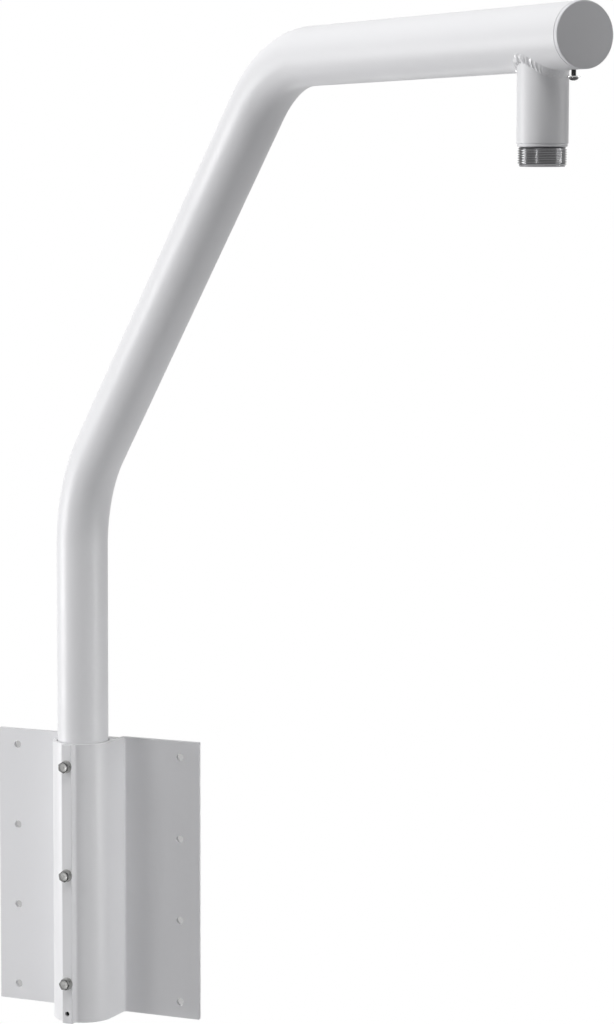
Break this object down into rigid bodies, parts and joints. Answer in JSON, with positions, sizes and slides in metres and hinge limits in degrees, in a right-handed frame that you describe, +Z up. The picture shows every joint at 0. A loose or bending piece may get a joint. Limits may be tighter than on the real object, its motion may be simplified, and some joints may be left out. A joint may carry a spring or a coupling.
{
  "type": "swing-out camera mast bracket",
  "caption": "Wall bracket with a round socket and a bent white mast that turns in it, ending in a capped arm with a threaded pipe spigot for a hanging dome camera.",
  "frame": {"origin": "centre of the four outer wall holes, in the plane where the bracket's wings meet the wall", "axes": "+Z up along the mast, +Y into the wall, +X along the wall; the room side is -Y"},
  "size_m": [1.0646, 0.7442, 1.2355],
  "materials": {
    "white_paint": "satin powder coat, white",
    "zinc_steel": "zinc plated",
    "black_steel": "black oxide",
    "cap_plastic": "fine matte",
    "bright_screw": "polished"
  },
  "bodies": {
    "bracket": {"wall_bracket": "white_paint", "stop_screw": "black_steel", "flat_washer_lower": "zinc_steel", "spring_washer_lower": "zinc_steel", "set_bolt_lower": "zinc_steel", "flat_washer_middle": "zinc_steel", "spring_washer_middle": "zinc_steel", "set_bolt_middle": "zinc_steel", "flat_washer_upper": "zinc_steel", "spring_washer_upper": "zinc_steel", "set_bolt_upper": "zinc_steel"},
    "mast": {"mast_tube": "white_paint", "end_cap": "cap_plastic", "camera_spigot": "white_paint", "spigot_weld": "white_paint", "tether_screw": "bright_screw", "tether_washer": "bright_screw"}
  },
  "joints": [
    {"name": "mast_swivel", "type": "hinge", "parent": "bracket", "child": "mast", "pos_m": [0, -0.045, 0], "axis": [0, 0, 1], "continuous": true}
  ]
}
